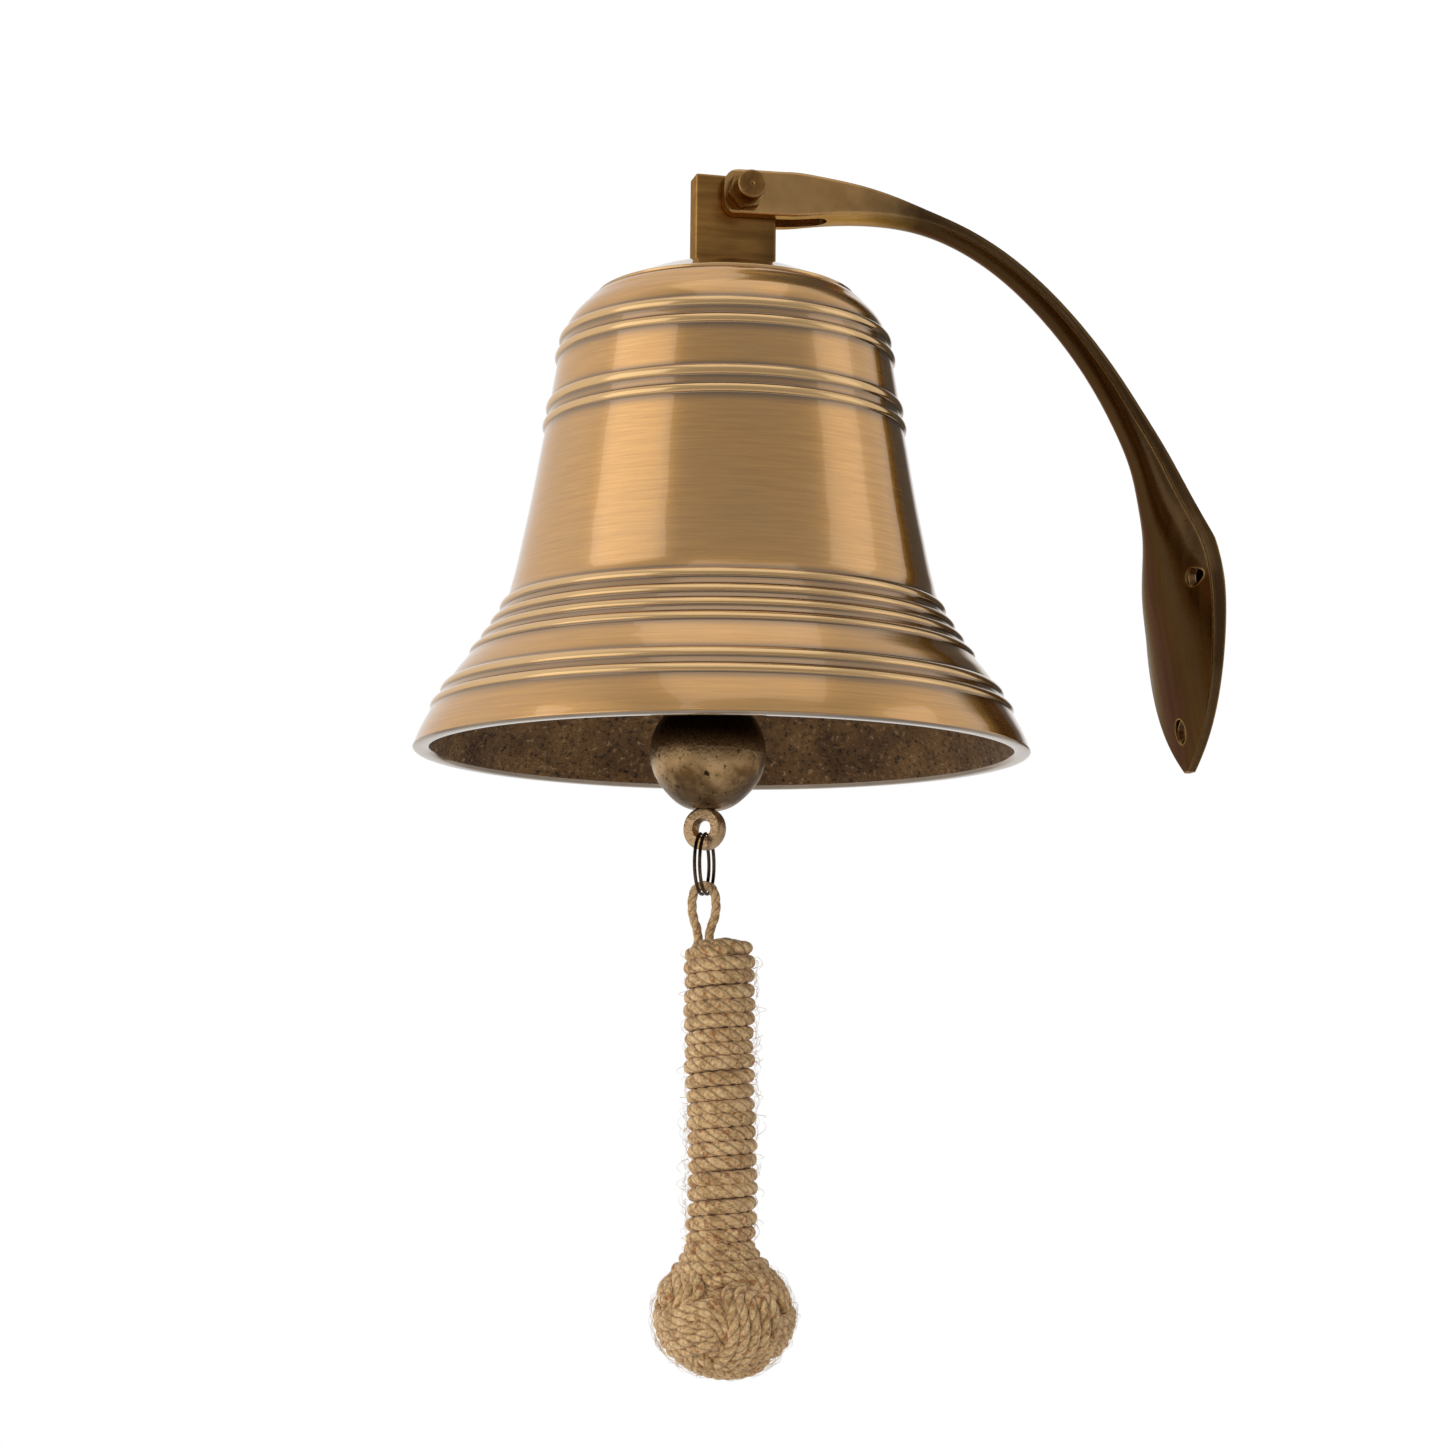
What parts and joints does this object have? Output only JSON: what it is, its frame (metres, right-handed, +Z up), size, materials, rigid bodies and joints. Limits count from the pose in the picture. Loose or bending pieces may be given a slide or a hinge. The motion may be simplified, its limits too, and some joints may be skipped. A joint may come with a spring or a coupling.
{
  "type": "ship bell",
  "caption": "Wall-mounted brass ship bell on a forked bracket arm, with clapper, split ring and knotted rope pull.",
  "frame": {"origin": "centre of the flat back of the wall plate, midway across it, 40 mm above the level of the bell's mouth", "axes": "+X into the wall, +Y towards the far side of the arm, +Z up"},
  "size_m": [0.2676, 0.2028, 0.4003],
  "materials": {
    "bell_brass": "satin",
    "dark_bronze": "satin",
    "cast_clapper": "rough",
    "steel_wire": "satin",
    "jute_cord": "matte"
  },
  "bodies": {
    "bracket": {"wall_bracket": "dark_bronze", "pivot_bolt": "dark_bronze", "pivot_cap_nut": "dark_bronze"},
    "bell": {"crown_block": "dark_bronze", "bell_shell": "bell_brass", "clapper_eyebolt": "dark_bronze", "crown_washer": "dark_bronze", "crown_nut": "dark_bronze"},
    "link": {"clapper_link": "steel_wire"},
    "clapper": {"clapper": "cast_clapper"},
    "ring": {"split_ring": "steel_wire"},
    "pull": {"pull_loop": "jute_cord", "pull_core": "jute_cord", "pull_wrap": "jute_cord", "pull_knot": "jute_cord"}
  },
  "joints": [
    {"name": "bell_swing", "type": "hinge", "parent": "bracket", "child": "bell", "pos_m": [-0.1624, 0, 0.149], "axis": [0, 1, 0], "range_deg": [-16, 70]},
    {"name": "link_swing", "type": "hinge", "parent": "bell", "child": "link", "pos_m": [-0.1662, 0, 0.098], "axis": [1, 0, 0], "range_deg": [-8, 8]},
    {"name": "clapper_swing", "type": "hinge", "parent": "link", "child": "clapper", "pos_m": [-0.1662, 0, 0.091], "axis": [0, 1, 0], "range_deg": [-28, 24]},
    {"name": "ring_swing", "type": "hinge", "parent": "clapper", "child": "ring", "pos_m": [-0.17163, 0, -0.06451], "axis": [-0.6687, -0.7431, 0.0234], "range_deg": [-35, 35]},
    {"name": "pull_swing", "type": "hinge", "parent": "ring", "child": "pull", "pos_m": [-0.17163, 0, -0.07598], "axis": [0.887, -0.4617, 0], "range_deg": [-60, 60]}
  ]
}
